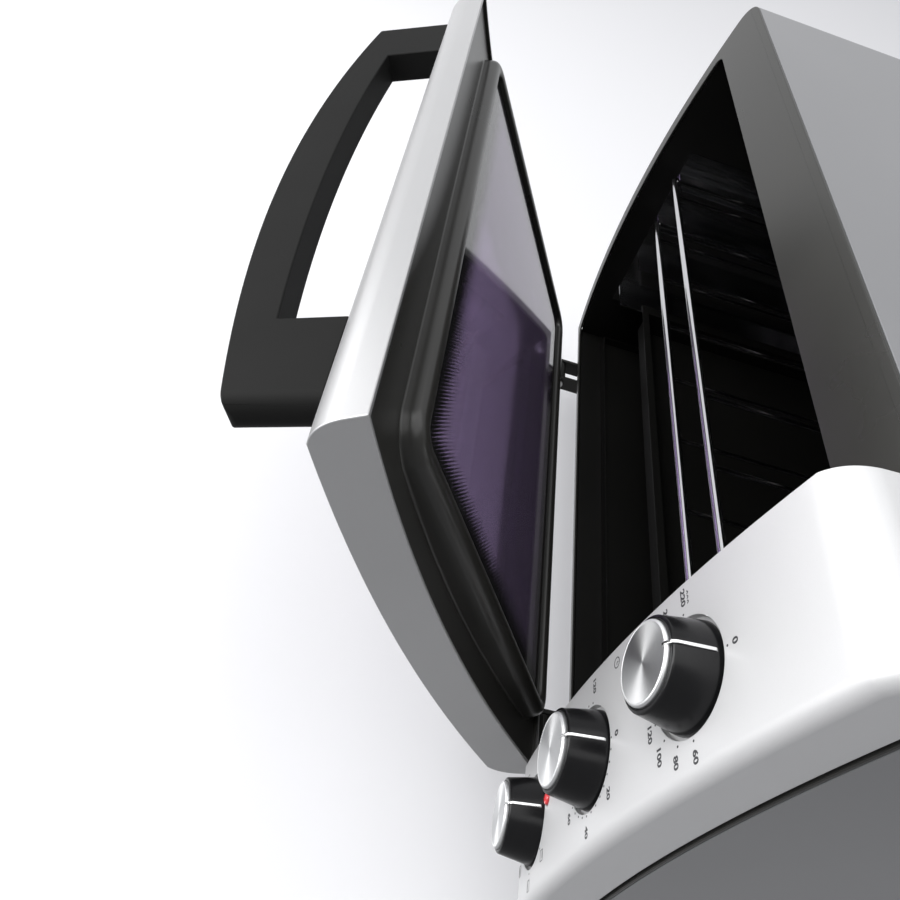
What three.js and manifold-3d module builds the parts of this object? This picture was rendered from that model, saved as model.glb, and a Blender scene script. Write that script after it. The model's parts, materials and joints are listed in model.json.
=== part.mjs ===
// Counter-top toaster oven with a bowed drop-down door, built as the separate
// pieces it is assembled from.  Millimetres, +Z up, the door faces -Y.
// Everything is drawn around the door's hinge axis (y = 0, z = 0, along X) and
// x = 0 is the middle of the body; the last lines move the whole appliance so
// that its origin is the bottom centre of its bounding box.
import * as THREE from 'three';
import { mergeVertices } from 'three/addons/utils/BufferGeometryUtils.js';
import Module from 'manifold-3d';

const wasm = await Module();
wasm.setup();

// ---------------------------------------------------------------- dimensions
const BODY_WIDTH = 535;
const HALF = BODY_WIDTH / 2;
const TABLE_Z = -36;          // the worktop, measured from the hinge axis
const BASE_Z = -20;           // underside of the base pan
const SILL_Z = 28;            // lower edge of the front frame
const TOP_Z = 344;            // top of the casing
const PLINTH_Y = 38;          // the base stands back from the bowed front
const BACK_Y = 366;           // rear edge of the casing
const SHEET = 1.2;            // casing sheet
const FIT = 0.3;              // gap between pieces that touch

// The front is bowed: every front surface is an arc about one centre line.
const ARC_Y = 950.9;
const ARC_Z = 171.6;
const DOOR_INNER_R = 955;     // rear edge of the door
const DOOR_DEPTH = 27.3;
const DOOR_OUTER_R = DOOR_INNER_R + DOOR_DEPTH;
const FRAME_R = 953;          // front of the body behind the door
const FRAME_SHEET = 1.6;

const DOOR_WIDTH = 451;
const DOOR_X = [-HALF, -HALF + DOOR_WIDTH];
const DOOR_MID = (DOOR_X[0] + DOOR_X[1]) / 2;
const DOOR_Z = [31, 338.7];
const DOOR_WALL = 2.4;
const DOOR_REST_ANGLE = THREE.MathUtils.degToRad(32.2);

const PANEL_X = [DOOR_X[1] + 1.8, HALF - 0.8];
const KNOB_X = 225.8;
const WELL_RADIUS = 24;
const WELL_DEPTH = 3;
const CONTROLS = [
  { name: 'thermostat', z: 246.6 },
  { name: 'timer', z: 158.2 },
  { name: 'selector', z: 69.5 },
];

const CAVITY_X = [-257, 164];
const CAVITY_Z = [33, 306.5];
const CAVITY_BACK = 317;
const RACK_LEVELS = [95, 134.3, 173.6, 213];
const RACK_X = [-241.5, 148.5];
const FAN_Z = 172;
const HINGE_OFFSET = 184;     // hinge arms from the middle of the door

// ------------------------------------------------------------------ finishes
function finish(color, roughness, metalness) {
  return new THREE.MeshStandardMaterial({ color, roughness, metalness });
}
const SILVER = finish(0xb9babd, 0.35, 0.8);
const STEEL = finish(0x9a9b9c, 0.45, 0.9);
const CHROME = finish(0xd4d5d7, 0.15, 1.0);
const ALUMINIUM = finish(0xdcdddf, 0.25, 1.0);
const ENAMEL = finish(0x161615, 0.32, 0.1);
const BLACK_STEEL = finish(0x1b1b1b, 0.5, 0.3);
const BLACK_PLASTIC = finish(0x262626, 0.55, 0.0);
const KNOB_BLACK = finish(0x0d0d0f, 0.2, 0.0);
const RUBBER = finish(0x1a1a1a, 0.9, 0.0);
const GLASS = new THREE.MeshStandardMaterial({
  color: 0x2b2433, roughness: 0.05, metalness: 0.0, transparent: true, opacity: 0.55,
});
const RED_LENS = finish(0xc8202a, 0.2, 0.0);
const CERAMIC = finish(0xd9d3c4, 0.7, 0.0);

// ------------------------------------------------------- geometry and solids
const X_AXIS = new THREE.Vector3(1, 0, 0);
const Y_AXIS = new THREE.Vector3(0, 1, 0);
const Z_AXIS = new THREE.Vector3(0, 0, 1);
const EXTRUDE_FRAMES = {
  x: new THREE.Matrix4().makeBasis(Y_AXIS, Z_AXIS, X_AXIS),
  y: new THREE.Matrix4().makeBasis(X_AXIS, Z_AXIS, Y_AXIS.clone().negate()),
  z: new THREE.Matrix4(),
};

// Position-only geometry with shared vertices and no collapsed triangles.
function weld(geometry) {
  const bare = geometry.clone();
  bare.deleteAttribute('normal');
  bare.deleteAttribute('uv');
  const merged = mergeVertices(bare, 1e-4);
  const index = [...merged.index.array];
  const kept = [];
  for (let i = 0; i < index.length; i += 3) {
    const [a, b, c] = index.slice(i, i + 3);
    if (a !== b && b !== c && c !== a) kept.push(a, b, c);
  }
  merged.setIndex(kept);
  return merged;
}

function signedVolume(geometry) {
  const position = geometry.attributes.position;
  const corners = [new THREE.Vector3(), new THREE.Vector3(), new THREE.Vector3()];
  const index = geometry.index.array;
  let volume = 0;
  for (let i = 0; i < index.length; i += 3) {
    corners.forEach((corner, k) => corner.fromBufferAttribute(position, index[i + k]));
    volume += corners[0].dot(corners[1].clone().cross(corners[2])) / 6;
  }
  return volume;
}

function solid(geometry) {
  const welded = weld(geometry);
  const triangles = Uint32Array.from(welded.index.array);
  if (signedVolume(welded) < 0) triangles.reverse();
  const vertProperties = Float32Array.from(welded.attributes.position.array);
  return new wasm.Manifold(new wasm.Mesh({ numProp: 3, vertProperties, triVerts: triangles }));
}

function geometryOf(body) {
  const mesh = body.getMesh();
  const geometry = new THREE.BufferGeometry();
  geometry.setAttribute('position', new THREE.BufferAttribute(mesh.vertProperties, 3));
  geometry.setIndex(new THREE.BufferAttribute(mesh.triVerts, 1));
  geometry.computeVertexNormals();
  return geometry;
}

const join = (bodies) => bodies.reduce((sum, body) => sum.add(body));
const cut = (body, tools) => tools.reduce((rest, tool) => rest.subtract(tool), body);

// An outline pushed along one axis.  Outline points are [y, z] for axis x,
// [x, z] for axis y and [x, y] for axis z.
function prism(points, axis, from, to) {
  const shape = new THREE.Shape(points.map(([a, b]) => new THREE.Vector2(a, b)));
  const geometry = new THREE.ExtrudeGeometry(shape, { depth: to - from, bevelEnabled: false });
  geometry.translate(0, 0, axis === 'y' ? -to : from);
  geometry.applyMatrix4(EXTRUDE_FRAMES[axis]);
  return solid(geometry);
}

function box([x0, x1], [y0, y1], [z0, z1], place = new THREE.Matrix4()) {
  const geometry = new THREE.BoxGeometry(x1 - x0, y1 - y0, z1 - z0);
  geometry.translate((x0 + x1) / 2, (y0 + y1) / 2, (z0 + z1) / 2);
  return solid(geometry.applyMatrix4(place));
}

function circle(cx, cy, radius, sides = 16) {
  return Array.from({ length: sides }, (_, i) => {
    const angle = (2 * Math.PI * (i + 0.5)) / sides;
    return [cx + radius * Math.cos(angle), cy + radius * Math.sin(angle)];
  });
}

function roundedRect([x0, x1], [z0, z1], radius, steps = 4) {
  const corners = [[x1 - radius, z1 - radius], [x0 + radius, z1 - radius],
    [x0 + radius, z0 + radius], [x1 - radius, z0 + radius]];
  return corners.flatMap(([cx, cz], corner) => Array.from({ length: steps + 1 }, (_, i) => {
    const angle = (Math.PI / 2) * (corner + i / steps);
    return [cx + radius * Math.cos(angle), cz + radius * Math.sin(angle)];
  }));
}

const inset = ([low, high], amount) => [low + amount, high - amount];

// A turned piece.  Profile points are [radius, height]; height runs towards -Y.
function turned(profile, place = new THREE.Matrix4(), sides = 32) {
  const points = profile.map(([radius, height]) => new THREE.Vector2(radius, height));
  const geometry = new THREE.LatheGeometry(points, sides);
  geometry.rotateX(Math.PI);
  return solid(geometry.applyMatrix4(place));
}

const drum = (radius, low, high, place, sides) => (
  turned([[0, low], [radius, low], [radius, high], [0, high]], place, sides));

const at = (x, y, z) => new THREE.Matrix4().makeTranslation(x, y, z);

// Depth of a front arc at a height, and the arc as outline points.
const arcY = (radius, z) => ARC_Y - Math.sqrt(radius ** 2 - (z - ARC_Z) ** 2);
const arcTilt = (radius, z) => Math.asin((z - ARC_Z) / radius);

function arcPoints(radius, z0, z1, steps = 12) {
  return Array.from({ length: steps + 1 }, (_, i) => {
    const z = z0 + ((z1 - z0) * i) / steps;
    return [arcY(radius, z), z];
  });
}

const arcStrip = (rear, front, z0, z1) => (
  [...arcPoints(rear, z0, z1), ...arcPoints(front, z1, z0)]);

// Side outline of the bowed band that the door and the control panel share:
// the front corners roll over into nearly flat ends.
function bandOutline(rear, front, [bottom, top]) {
  const shoulder = 10.7;
  const roll = (end, inward) => {
    const rearY = arcY(rear, end);
    const frontY = arcY(front, end);
    return new THREE.QuadraticBezierCurve(
      new THREE.Vector2(rearY + 0.42 * (frontY - rearY), end + 0.5 * inward),
      new THREE.Vector2(frontY + 3.6, end + 1.7 * inward),
      new THREE.Vector2(arcY(front, end + shoulder * inward), end + shoulder * inward),
    ).getPoints(4).map((point) => [point.x, point.y]);
  };
  return [
    ...arcPoints(rear, bottom, top),
    ...roll(top, -1),
    ...arcPoints(front, top - shoulder, bottom + shoulder).slice(1, -1),
    ...roll(bottom, 1).reverse(),
  ];
}

function addPart(group, name, body, material) {
  const mesh = new THREE.Mesh(geometryOf(body), material);
  mesh.name = name;
  group.add(mesh);
}

// ------------------------------------------------------------------ the body
const appliance = new THREE.Group();

// Where a control sits: on the front arc of the panel, facing straight out.
const panelPlace = (x, z) => at(x, arcY(DOOR_OUTER_R, z), z)
  .multiply(new THREE.Matrix4().makeRotationX(-arcTilt(DOOR_OUTER_R, z)));
const PILOT = { x: 224, z: 98 };

function buildBase() {
  const side = 262;
  const floor = box([-side, side], [PLINTH_Y, BACK_Y - 2], [BASE_Z, BASE_Z + 1.5]);
  const walls = [
    box([-side, side], [PLINTH_Y, PLINTH_Y + 1.5], [BASE_Z, SILL_Z + 2]),
    box([-side, side], [BACK_Y - 3.5, BACK_Y - 2], [BASE_Z, 10]),
    box([-side, -side + 1.5], [PLINTH_Y, BACK_Y - 2], [BASE_Z, 10]),
    box([side - 1.5, side], [PLINTH_Y, BACK_Y - 2], [BASE_Z, 10]),
  ];
  const slots = [];
  for (let i = 0; i < 7; i += 1) {
    const y = 130 + 22 * i;
    slots.push(box([180, 236], [y, y + 5], [BASE_Z - 5, BASE_Z + 5]));
    slots.push(box([-180, -60], [y, y + 5], [BASE_Z - 5, BASE_Z + 5]));
  }
  addPart(appliance, 'base_pan', cut(join([floor, ...walls]), slots), BLACK_STEEL);

  for (const [name, x, y] of [['front_left', -230, 62], ['front_right', 230, 62],
    ['rear_left', -230, 338], ['rear_right', 230, 338]]) {
    const profile = [[0, 0], [11.5, 0], [13, 1.5], [14.5, 15.7], [0, 15.7]]
      .map(([radius, height]) => new THREE.Vector2(radius, height));
    const foot = new THREE.LatheGeometry(profile, 20).rotateX(Math.PI / 2);
    addPart(appliance, `foot_${name}`, solid(foot.translate(x, y, TABLE_Z)), RUBBER);
  }
}

function buildCasing() {
  const section = (x, top, radius) => [
    [-x, BASE_Z + 3], [x, BASE_Z + 3],
    ...roundedRect([-x, x], [BASE_Z, top], radius, 6).slice(0, 14),
  ];
  const wrap = cut(prism(section(HALF, TOP_Z, 16), 'y', -10, BACK_Y), [
    prism(section(HALF - SHEET, TOP_Z - SHEET, 16 - SHEET), 'y', -20, BACK_Y + 10)
      .add(box([-HALF + SHEET, HALF - SHEET], [-20, BACK_Y + 10], [BASE_Z - 5, BASE_Z + 10])),
  ]);
  const sideOutline = [
    ...arcPoints(FRAME_R - FRAME_SHEET - FIT, DOOR_Z[0], TOP_Z + 2),
    [BACK_Y + 1, TOP_Z + 2], [BACK_Y + 1, BASE_Z + 2],
    [PLINTH_Y, BASE_Z + 2], [PLINTH_Y, DOOR_Z[0]],
  ];
  const slots = [];
  for (let i = 0; i < 9; i += 1) {
    const y = [215 + 14 * i, 219 + 14 * i];
    slots.push(box([-HALF - 5, -HALF + 5], y, [236, 286]));
    slots.push(box([HALF - 5, HALF + 5], y, [236, 286]));
  }
  const casing = wrap.intersect(prism(sideOutline, 'x', -HALF - 1, HALF + 1));
  addPart(appliance, 'outer_casing', cut(casing, slots), SILVER);
}

function buildBackCover() {
  const plate = prism(roundedRect([-260, 260], [BASE_Z + 4, TOP_Z - 6], 10), 'y',
    BACK_Y + FIT, BACK_Y + FIT + 1.5);
  const openings = [prism(circle(CORD.x, CORD.z, 8), 'y', BACK_Y - 5, BACK_Y + 5)];
  for (let row = 0; row < 8; row += 1) {
    const z = [120 + 14 * row, 124 + 14 * row];
    openings.push(box([-100, -45], [BACK_Y - 5, BACK_Y + 5], z));
    openings.push(box([-39, 16], [BACK_Y - 5, BACK_Y + 5], z));
    openings.push(box([190, 240], [BACK_Y - 5, BACK_Y + 5], z));
  }
  addPart(appliance, 'back_cover', cut(plate, openings), BLACK_STEEL);
}

function controlHoles(radius) {
  return CONTROLS.map(({ z }) => drum(radius, -70, 5, panelPlace(KNOB_X, z), 16));
}

function buildFrontFrame() {
  const plate = prism(arcStrip(FRAME_R - FRAME_SHEET, FRAME_R, SILL_Z, TOP_Z), 'x', -HALF, HALF)
    .intersect(prism(roundedRect([-HALF, HALF], [SILL_Z - 30, TOP_Z], 16, 6), 'y', -20, 40));
  const edge = HALF - SHEET - 2 * FIT;
  const sill = box([-edge, edge], [arcY(FRAME_R, SILL_Z) + 0.2, PLINTH_Y - 1], [SILL_Z, SILL_Z + 1.6]);
  const mouth = prism(roundedRect(inset(CAVITY_X, 0.5), inset(CAVITY_Z, 0.5), 8), 'y', -20, 30);
  addPart(appliance, 'front_frame', cut(plate.add(sill), [mouth, ...controlHoles(4.5)]), BLACK_STEEL);
}

const ELEMENTS = [
  { name: 'upper_element_front', y: 100, z: 292 },
  { name: 'upper_element_rear', y: 220, z: 292 },
  { name: 'lower_element_front', y: 100, z: 58 },
  { name: 'lower_element_rear', y: 220, z: 58 },
];

function buildCavity() {
  const behindFrame = prism([...arcPoints(FRAME_R - 2.2, 20, 320), [400, 320], [400, 20]], 'x', -300, 300);
  const outside = box(inset(CAVITY_X, -1), [-20, CAVITY_BACK + 1], inset(CAVITY_Z, -1));
  const inside = box(CAVITY_X, [-30, CAVITY_BACK], CAVITY_Z);
  const holes = ELEMENTS.map(({ y, z }) => prism(circle(y, z, 4.6), 'x', -300, 300));
  const shaftHole = prism(circle(DOOR_MID, FAN_Z, 6), 'y', 300, 330);
  const liner = cut(outside.intersect(behindFrame), [inside, ...holes, shaftHole]);
  addPart(appliance, 'cavity_liner', liner, ENAMEL);

  const guide = (wall, reach) => {
    const sign = Math.sign(reach - wall);
    const span = (a, b) => [Math.min(a, b), Math.max(a, b)];
    const plate = box(span(wall + FIT * sign, wall + 1.5 * sign), [22, 305], [80, 232]);
    const rails = RACK_LEVELS.map((z) => (
      box(span(wall + FIT * sign, reach), [24, 300], [z - 4.6, z - 2.9])));
    return join([plate, ...rails]);
  };
  addPart(appliance, 'rack_guide_left', guide(CAVITY_X[0], -233), CHROME);
  addPart(appliance, 'rack_guide_right', guide(CAVITY_X[1], 140), CHROME);

  for (const { name, y, z } of ELEMENTS) {
    addPart(appliance, name, prism(circle(y, z, 3.3, 12), 'x', -264.5, 168.5), STEEL);
  }
}

function buildFan() {
  const rear = at(DOOR_MID, CAVITY_BACK, FAN_Z);
  const shell = turned([[0, 27], [74, 27], [80, 20], [80, FIT], [78.5, FIT], [78.5, 19.4],
    [73.4, 25.5], [0, 25.5]], rear, 40);
  const slots = [];
  for (let i = 0; i < 16; i += 1) {
    const turn = new THREE.Matrix4().makeRotationY((Math.PI / 8) * i);
    slots.push(box([20, 62], [-40, -15], [-3, 3], rear.clone().multiply(turn)));
  }
  addPart(appliance, 'fan_guard', cut(shell, slots), ENAMEL);

  const blades = [];
  for (let i = 0; i < 6; i += 1) {
    const turn = new THREE.Matrix4().makeRotationY((Math.PI / 3) * i);
    blades.push(box([0, 60], [-17, -6], [-0.8, 0.8], rear.clone().multiply(turn)));
  }
  const hub = turned([[0, -10], [3, -10], [3, 4], [12, 4], [12, 18], [0, 18]], rear, 16);
  addPart(appliance, 'fan_impeller', join([hub, ...blades]), STEEL);

  const can = drum(30, -38, -12, rear, 24);
  const yoke = box([-42, 42], [11.5, 14], [-9, 9], rear);
  const legs = [-40.5, 40.5].map((x) => box([x - 1.5, x + 1.5], [1.4, 13], [-9, 9], rear));
  addPart(appliance, 'fan_motor', join([can, yoke, ...legs]), STEEL);
}

const CORD = { x: 226, z: 26 };

function buildElectrics() {
  addPart(appliance, 'heat_shield', box([170, 171.2], [22, 358], [30, 334]), STEEL);
  addPart(appliance, 'thermal_cutout', drum(9, -13, -1.4, at(60, CAVITY_BACK, 250), 20), CERAMIC);
  addPart(appliance, 'terminal_block', box([206, 246], [318, 340], [BASE_Z + 1.8, 4]), CERAMIC);
  const gland = turned([[3.6, 10], [7.5, 10], [7.5, -2.1], [11, -2.1], [11, -4], [9.5, -5.2],
    [3.6, -5.2], [3.6, 10]], at(CORD.x, BACK_Y, CORD.z), 24);
  addPart(appliance, 'cord_gland', gland, BLACK_PLASTIC);
}

// ------------------------------------------------------------- control panel
function buildControlPanel() {
  const front = prism(bandOutline(DOOR_INNER_R - 0.5, DOOR_OUTER_R, DOOR_Z), 'x', ...PANEL_X);
  const hollow = prism(bandOutline(DOOR_INNER_R - 15, DOOR_OUTER_R - 6, inset(DOOR_Z, 2.4)), 'x',
    ...inset(PANEL_X, 2));
  const wells = CONTROLS.map(({ z }) => drum(WELL_RADIUS, -WELL_DEPTH, 5, panelPlace(KNOB_X, z), 40));
  const pilotHole = drum(3.5, -20, 5, panelPlace(PILOT.x, PILOT.z), 16);
  const panel = cut(front, [hollow, ...wells, ...controlHoles(4.5), pilotHole]);
  addPart(appliance, 'control_panel', panel, SILVER);

  const lens = turned([[0, -6], [3.1, -6], [3.1, 0.7], [2.2, 1.5], [0, 1.8]],
    panelPlace(PILOT.x, PILOT.z), 16);
  addPart(appliance, 'pilot_lens', lens, RED_LENS);
  const lamp = drum(3.8, -18, -6.4, panelPlace(PILOT.x, PILOT.z), 16);
  addPart(appliance, 'pilot_lamp', lamp, BLACK_PLASTIC);

  const web = box([176, 262], [24, 25.5], [40, 330]);
  const flanges = [box([176, 177.5], [15, 25.5], [40, 330]), box([260.5, 262], [15, 25.5], [40, 330])];
  addPart(appliance, 'control_bracket', cut(join([web, ...flanges]), controlHoles(5)), STEEL);
}

const SWITCH_FRONT = -59;     // the switches sit this far behind the panel face

function buildSwitches() {
  const bodies = {
    thermostat: (place) => box([-20, 20], [-SWITCH_FRONT, -SWITCH_FRONT + 26], [-18, 18], place),
    timer: (place) => drum(22, SWITCH_FRONT - 30, SWITCH_FRONT, place, 24),
    selector: (place) => drum(17, SWITCH_FRONT - 24, SWITCH_FRONT, place, 8),
  };
  for (const { name, z } of CONTROLS) {
    addPart(appliance, `${name}_switch`, bodies[name](panelPlace(KNOB_X, z)), CERAMIC);
  }
}

// A knob: tapered black skirt, spun metal cap, and a raised pointer line at
// twelve o'clock, on the shaft of its switch.
function buildKnob({ name, z }) {
  const group = new THREE.Group();
  group.applyMatrix4(panelPlace(KNOB_X, z));
  const base = { radius: 22.4, height: -2.6 };
  const rim = { radius: 19.2, height: 16.4 };
  const slope = (rim.radius - base.radius) / (rim.height - base.height);
  const skirtRadius = (height) => base.radius + slope * (height - base.height);
  const skirt = turned([[0, 13.2], [3.35, 13.2], [3.35, base.height], [base.radius, base.height],
    [rim.radius, rim.height], [18.2, 17.2], [0, 17.2]], undefined, 40);
  addPart(group, `${name}_knob_skirt`, skirt, KNOB_BLACK);

  const cap = turned([[0, 17.5], [16.9, 17.5], [16.9, 18.5], [16.2, 19.2], [0, 19.2]], undefined, 40);
  addPart(group, `${name}_knob_cap`, cap, ALUMINIUM);

  const line = [[-0.4, 0.35], [-16.2, 0.35], [-16.2, 1.1], [-0.4, 1.1]]
    .map(([y, proud]) => [y, skirtRadius(-y) + proud]);
  addPart(group, `${name}_knob_pointer`, prism(line, 'x', -0.8, 0.8), ALUMINIUM);

  addPart(group, `${name}_shaft`, drum(3, SWITCH_FRONT + 0.5, 12.8, undefined, 12), STEEL);
  appliance.add(group);
}

// ------------------------------------------------------- racks, tray and crumb
function buildRack(name, y, z) {
  const depth = 266;
  const side = inset(RACK_X, 2.5);
  const rods = [
    prism(circle(y, z, 2.5, 8), 'x', ...RACK_X),
    prism(circle(y + depth, z, 2.5, 8), 'x', ...RACK_X),
    prism(circle(side[0], z, 2.5, 8), 'y', y, y + depth),
    prism(circle(side[1], z, 2.5, 8), 'y', y, y + depth),
  ];
  for (let i = -3; i <= 3; i += 1) {
    const x = (RACK_X[0] + RACK_X[1]) / 2 + 58 * i;
    rods.push(prism(circle(x, z - 2.6, 1.6, 8), 'y', y - 1, y + depth + 1));
  }
  addPart(appliance, name, join(rods), CHROME);
}

function buildTrays() {
  const rim = RACK_LEVELS[0] - 2.5;
  const flange = box([-240, 147], [45, 292], [rim, rim + 1]);
  const bowl = box([-230, 137], [50, 287], [rim - 20, rim + 1]);
  const well = box([-229, 136], [51, 286], [rim - 19, rim + 5]);
  addPart(appliance, 'baking_tray', cut(flange.add(bowl), [well]), ENAMEL);

  const floor = CAVITY_Z[0] + 1;
  const crumb = cut(box([-247, 154], [30, 308], [floor, floor + 8]),
    [box([-246, 153], [31, 307], [floor + 1, floor + 20])]);
  addPart(appliance, 'crumb_tray', crumb, STEEL);
}

// ------------------------------------------------------------------ the door
const door = new THREE.Group();
door.rotation.x = DOOR_REST_ANGLE;
appliance.add(door);

const RIM_X = [-253, 157.5];
const RIM_Z = [37, 300];
const RIM_FACE_Y = 12.5;
const PAN_SHEET = 1.6;
const GLASS_BACK_Y = 4.9;
const HINGE_X = [DOOR_MID - HINGE_OFFSET, DOOR_MID + HINGE_OFFSET];
const HANDLE_Z = 318;
const HANDLE_POSTS = [-227, 131];

const handlePlace = () => at(0, arcY(DOOR_OUTER_R, HANDLE_Z), HANDLE_Z)
  .multiply(new THREE.Matrix4().makeRotationX(-arcTilt(DOOR_OUTER_R, HANDLE_Z)));

function buildDoorShell() {
  const band = prism(bandOutline(DOOR_INNER_R, DOOR_OUTER_R, DOOR_Z), 'x', ...DOOR_X);
  const hollow = prism(bandOutline(DOOR_INNER_R - 15, DOOR_OUTER_R - DOOR_WALL, inset(DOOR_Z, DOOR_WALL)),
    'x', ...inset(DOOR_X, DOOR_WALL));
  const window = prism(roundedRect([DOOR_MID - 165, DOOR_MID + 165], [78, 262], 14), 'y', -45, -15);
  const armSlots = HINGE_X.map((x) => box([x - 11.5, x + 11.5], [-16, -3], [25, 44]));
  const screwHoles = HANDLE_POSTS.map((x) => drum(2.6, -12, 5, handlePlace().multiply(at(x, 0, 0)), 12));
  addPart(door, 'door_shell', cut(band, [hollow, window, ...armSlots, ...screwHoles]), SILVER);
}

function buildDoorPan() {
  const flangeX = inset(DOOR_X, DOOR_WALL + FIT);
  const flange = prism(arcStrip(DOOR_INNER_R + 2.5, DOOR_INNER_R + 4.5, 35, 334.8), 'x', ...flangeX);
  // The raised rim is a pressed channel, open behind, with a seat for the glass inside it.
  // Its walls reach back to the curved flange.
  const flangeBack = prism(arcStrip(900, DOOR_INNER_R + 4.5, 20, 345), 'x', ...flangeX);
  const ring = (amount, radius, y0, y1) => (
    prism(roundedRect(inset(RIM_X, amount), inset(RIM_Z, amount), radius), 'y', y0, y1));
  const hollow = ring(PAN_SHEET, 18, -20, RIM_FACE_Y - PAN_SHEET).subtract(ring(10.4, 10, 2.6, 20));
  const cuts = [hollow, ring(12, 9, GLASS_BACK_Y - FIT, 20), ring(20, 6, -20, 20)];
  const rim = ring(0, 20, -15, RIM_FACE_Y).intersect(flangeBack);
  addPart(door, 'door_pan', cut(flange.add(rim), cuts), ENAMEL);
}

function buildDoorGlass() {
  const inner = prism(roundedRect(inset(RIM_X, 12.4), inset(RIM_Z, 12.4), 8.6), 'y',
    GLASS_BACK_Y, GLASS_BACK_Y + 4);
  addPart(door, 'door_inner_glass', inner, GLASS);
  const front = DOOR_OUTER_R - DOOR_WALL - FIT;
  const outer = prism(arcStrip(front - 4, front, 68, 272), 'x', DOOR_MID - 176, DOOR_MID + 176);
  addPart(door, 'door_outer_glass', outer, GLASS);
}

// The bowed handle: two posts and one bar between them, cut from one outline, with
// half-round ends.
function buildHandle() {
  const group = new THREE.Group();
  group.applyMatrix4(handlePlace());
  const half = 9.5;
  const ends = [-255.5, 159.5];
  const posts = [-199, 103];
  const crown = -61.5;
  const outerReach = (x) => 69.7 - 0.00053 * (x - crown) ** 2;
  const innerReach = (x) => 43.7 - 0.00036 * (x - crown) ** 2;
  const along = (from, to, reach) => Array.from({ length: 13 }, (_, i) => {
    const x = from + ((to - from) * i) / 12;
    return [x, -reach(x)];
  });
  const corner = (end, inward) => new THREE.QuadraticBezierCurve(
    new THREE.Vector2(end, -outerReach(end) + 6),
    new THREE.Vector2(end, -outerReach(end)),
    new THREE.Vector2(end + 6 * inward, -outerReach(end + 6 * inward)),
  ).getPoints(4).map((point) => [point.x, point.y]);
  const outline = [
    [ends[0], -FIT],
    ...corner(ends[0], 1),
    ...along(ends[0] + 6, ends[1] - 6, outerReach).slice(1, -1),
    ...corner(ends[1], -1).reverse(),
    [ends[1], -FIT],
    [posts[1], -FIT],
    ...along(posts[1], posts[0], innerReach),
    [posts[0], -FIT],
  ];
  const section = prism(roundedRect(ends, [-half, half], half - 0.1, 6), 'y', -80, 5);
  const bar = prism(outline, 'z', -half, half).intersect(section);
  const bores = HANDLE_POSTS.map((x) => drum(2.3, -2, 15, at(x, 0, 0), 12));
  addPart(group, 'handle', cut(bar, bores), BLACK_PLASTIC);

  HANDLE_POSTS.forEach((x, i) => {
    const screw = turned([[0, -6], [4.5, -6], [4.5, -DOOR_WALL - FIT], [2, -DOOR_WALL - FIT],
      [2, 14], [0, 14]], at(x, 0, 0), 12);
    addPart(group, `handle_screw_${i === 0 ? 'left' : 'right'}`, screw, STEEL);
  });
  door.add(group);
}

// Each hinge: an arm on the door turns on a pin held by a forked bracket.
function buildHinges() {
  const pinHole = (x) => prism(circle(0, 0, 3.35), 'x', x - 30, x + 30);
  HINGE_X.forEach((x, i) => {
    const side = i === 0 ? 'left' : 'right';
    const eye = prism(circle(0, 0, 7, 20), 'x', x - 10, x + 10);
    const neck = prism([[-5, 3], [4, 3], [-8.6, 36], [-11.6, 34]], 'x', x - 10, x + 10);
    const blade = box([x - 10, x + 10], [-11.6, -8.6], [33.8, 95]);
    addPart(door, `hinge_arm_${side}`, cut(join([eye, neck, blade]), [pinHole(x)]), BLACK_STEEL);

    const ears = [[x - 14, x - 11], [x + 11, x + 14]].map((span) => (
      prism(circle(0, 0, 7, 20), 'x', ...span).add(box(span, [0, PLINTH_Y - FIT], [-7, 7]))));
    const foot = box([x - 14, x + 14], [PLINTH_Y - 3, PLINTH_Y - FIT], [-12, 12]);
    addPart(appliance, `hinge_bracket_${side}`, cut(join([...ears, foot]), [pinHole(x)]), BLACK_STEEL);

    const pin = prism(circle(0, 0, 3), 'x', x - 15.5, x + 15.5)
      .add(prism(circle(0, 0, 4.6), 'x', x + 14.4, x + 16.4));
    addPart(appliance, `hinge_pin_${side}`, pin, STEEL);
  });
}

// ------------------------------------------------------------------ assembly
buildBase();
buildCasing();
buildBackCover();
buildFrontFrame();
buildCavity();
buildFan();
buildElectrics();
buildControlPanel();
buildSwitches();
CONTROLS.forEach(buildKnob);
buildRack('upper_wire_rack', 16, RACK_LEVELS[3]);
buildRack('lower_wire_rack', 20, RACK_LEVELS[2]);
buildTrays();
buildDoorShell();
buildDoorPan();
buildDoorGlass();
buildHandle();
buildHinges();

// The origin is the bottom centre of the bounding box.
appliance.updateMatrixWorld(true);
const bounds = new THREE.Box3().setFromObject(appliance, true);
const middle = bounds.getCenter(new THREE.Vector3());
appliance.position.set(-middle.x, -middle.y, -bounds.min.z);

export default appliance;
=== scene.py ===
"""Toaster oven: the visual model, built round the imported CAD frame.

Lengths are in millimetres and are scaled by MM as meshes are made.  Most pieces are drawn in the hinge frame:
x = 0 is the middle of the body, y = z = 0 is the door's hinge axis.
"""
import json
import math

import bmesh
import bpy
from mathutils import Matrix, Vector


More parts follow.
